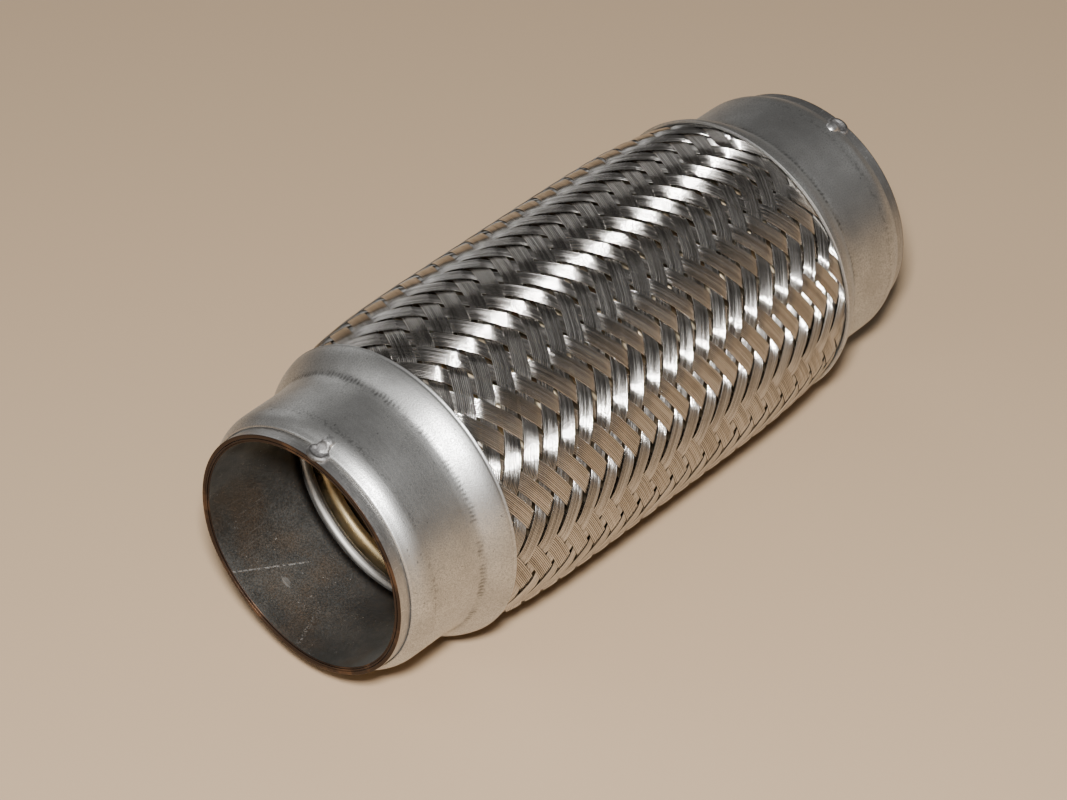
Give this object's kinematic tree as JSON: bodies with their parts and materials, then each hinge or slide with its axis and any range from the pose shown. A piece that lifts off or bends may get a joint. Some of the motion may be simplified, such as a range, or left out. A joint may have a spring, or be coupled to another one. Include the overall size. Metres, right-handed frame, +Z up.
{
  "type": "metal bellows expansion joint",
  "caption": "Round exhaust flex coupling: corrugated metal bellows inside a woven wire braid, with stepped rolled caps and short plain sleeve ends.",
  "frame": {"origin": "centre of the joint, on its axis, midway between the two mouths", "axes": "+X along the axis towards the outlet mouth; +Z up as the joint lies on its side; the tack welds are near the top"},
  "size_m": [0.16, 0.066, 0.066],
  "materials": {
    "end_cap_steel": "satin aluminised steel, mottled",
    "sleeve_steel": "dull grey steel, lightly scratched",
    "inner_ring_steel": "dark grey matte steel with scratches",
    "weld_steel": "dark weld metal",
    "bellows_steel": "thin stainless sheet, satin",
    "braid_wire": "bright drawn stainless wire"
  },
  "bodies": {
    "inlet_end": {"inlet_end_cap": "end_cap_steel", "inlet_end_sleeve": "sleeve_steel", "inlet_inner_ring": "inner_ring_steel", "inlet_tack_weld": "weld_steel", "inlet_bellows_cuff": "bellows_steel", "inlet_braid_end": "braid_wire"},
    "link_01": {"bellows_ring_01": "bellows_steel", "braid_ring_01": "braid_wire"},
    "link_02": {"bellows_ring_02": "bellows_steel", "braid_ring_02": "braid_wire"},
    "link_03": {"bellows_ring_03": "bellows_steel", "braid_ring_03": "braid_wire"},
    "link_04": {"bellows_ring_04": "bellows_steel", "braid_ring_04": "braid_wire"},
    "link_05": {"bellows_ring_05": "bellows_steel", "braid_ring_05": "braid_wire"},
    "link_06": {"bellows_ring_06": "bellows_steel", "braid_ring_06": "braid_wire"},
    "link_07": {"bellows_ring_07": "bellows_steel", "braid_ring_07": "braid_wire"},
    "link_08": {"bellows_ring_08": "bellows_steel", "braid_ring_08": "braid_wire"},
    "link_09": {"bellows_ring_09": "bellows_steel", "braid_ring_09": "braid_wire"},
    "link_10": {"bellows_ring_10": "bellows_steel", "braid_ring_10": "braid_wire"},
    "link_11": {"bellows_ring_11": "bellows_steel", "braid_ring_11": "braid_wire"},
    "outlet_end": {"outlet_end_cap": "end_cap_steel", "outlet_end_sleeve": "sleeve_steel", "outlet_inner_ring": "inner_ring_steel", "outlet_tack_weld": "weld_steel", "outlet_bellows_cuff": "bellows_steel", "outlet_braid_end": "braid_wire"}
  },
  "joints": [
    {"name": "stretch_1", "type": "slide", "parent": "inlet_end", "child": "link_01", "axis": [1, 0, 0], "range_m": [-0.002, 0.001], "stiffness_N_per_m": 40000},
    {"name": "inlet_pitch_1", "type": "hinge", "parent": "link_01", "child": "link_02", "pos_m": [-0.03927, 0, 0], "axis": [0, -1, 0], "range_deg": [-4.25, 4.25], "stiffness_Nm_per_rad": 60},
    {"name": "inlet_yaw_1", "type": "hinge", "parent": "link_02", "child": "link_03", "pos_m": [-0.03054, 0, 0], "axis": [0, 0, 1], "range_deg": [-4.25, 4.25], "stiffness_Nm_per_rad": 60},
    {"name": "stretch_2", "type": "slide", "parent": "link_03", "child": "link_04", "axis": [1, 0, 0], "range_m": [-0.002, 0.001], "stiffness_N_per_m": 40000},
    {"name": "inlet_pitch_2", "type": "hinge", "parent": "link_04", "child": "link_05", "pos_m": [-0.01309, 0, 0], "axis": [0, -1, 0], "range_deg": [-4.25, 4.25], "stiffness_Nm_per_rad": 60},
    {"name": "inlet_yaw_2", "type": "hinge", "parent": "link_05", "child": "link_06", "pos_m": [-0.00436, 0, 0], "axis": [0, 0, 1], "range_deg": [-4.25, 4.25], "stiffness_Nm_per_rad": 60},
    {"name": "outlet_yaw_1", "type": "hinge", "parent": "link_06", "child": "link_07", "pos_m": [0.00436, 0, 0], "axis": [0, 0, 1], "range_deg": [-4.25, 4.25], "stiffness_Nm_per_rad": 60},
    {"name": "outlet_pitch_1", "type": "hinge", "parent": "link_07", "child": "link_08", "pos_m": [0.01309, 0, 0], "axis": [0, -1, 0], "range_deg": [-4.25, 4.25], "stiffness_Nm_per_rad": 60},
    {"name": "stretch_3", "type": "slide", "parent": "link_08", "child": "link_09", "axis": [1, 0, 0], "range_m": [-0.002, 0.001], "stiffness_N_per_m": 40000},
    {"name": "outlet_yaw_2", "type": "hinge", "parent": "link_09", "child": "link_10", "pos_m": [0.03054, 0, 0], "axis": [0, 0, 1], "range_deg": [-4.25, 4.25], "stiffness_Nm_per_rad": 60},
    {"name": "outlet_pitch_2", "type": "hinge", "parent": "link_10", "child": "link_11", "pos_m": [0.03927, 0, 0], "axis": [0, -1, 0], "range_deg": [-4.25, 4.25], "stiffness_Nm_per_rad": 60},
    {"name": "stretch_4", "type": "slide", "parent": "link_11", "child": "outlet_end", "axis": [1, 0, 0], "range_m": [-0.002, 0.001], "stiffness_N_per_m": 40000}
  ],
  "couplings": [
    {"joint": "stretch_2", "follows": "stretch_1", "ratio": 1},
    {"joint": "inlet_pitch_2", "follows": "inlet_pitch_1", "ratio": 1},
    {"joint": "inlet_yaw_2", "follows": "inlet_yaw_1", "ratio": 1},
    {"joint": "stretch_3", "follows": "stretch_1", "ratio": 1},
    {"joint": "outlet_yaw_2", "follows": "outlet_yaw_1", "ratio": 1},
    {"joint": "outlet_pitch_2", "follows": "outlet_pitch_1", "ratio": 1},
    {"joint": "stretch_4", "follows": "stretch_1", "ratio": 1}
  ]
}
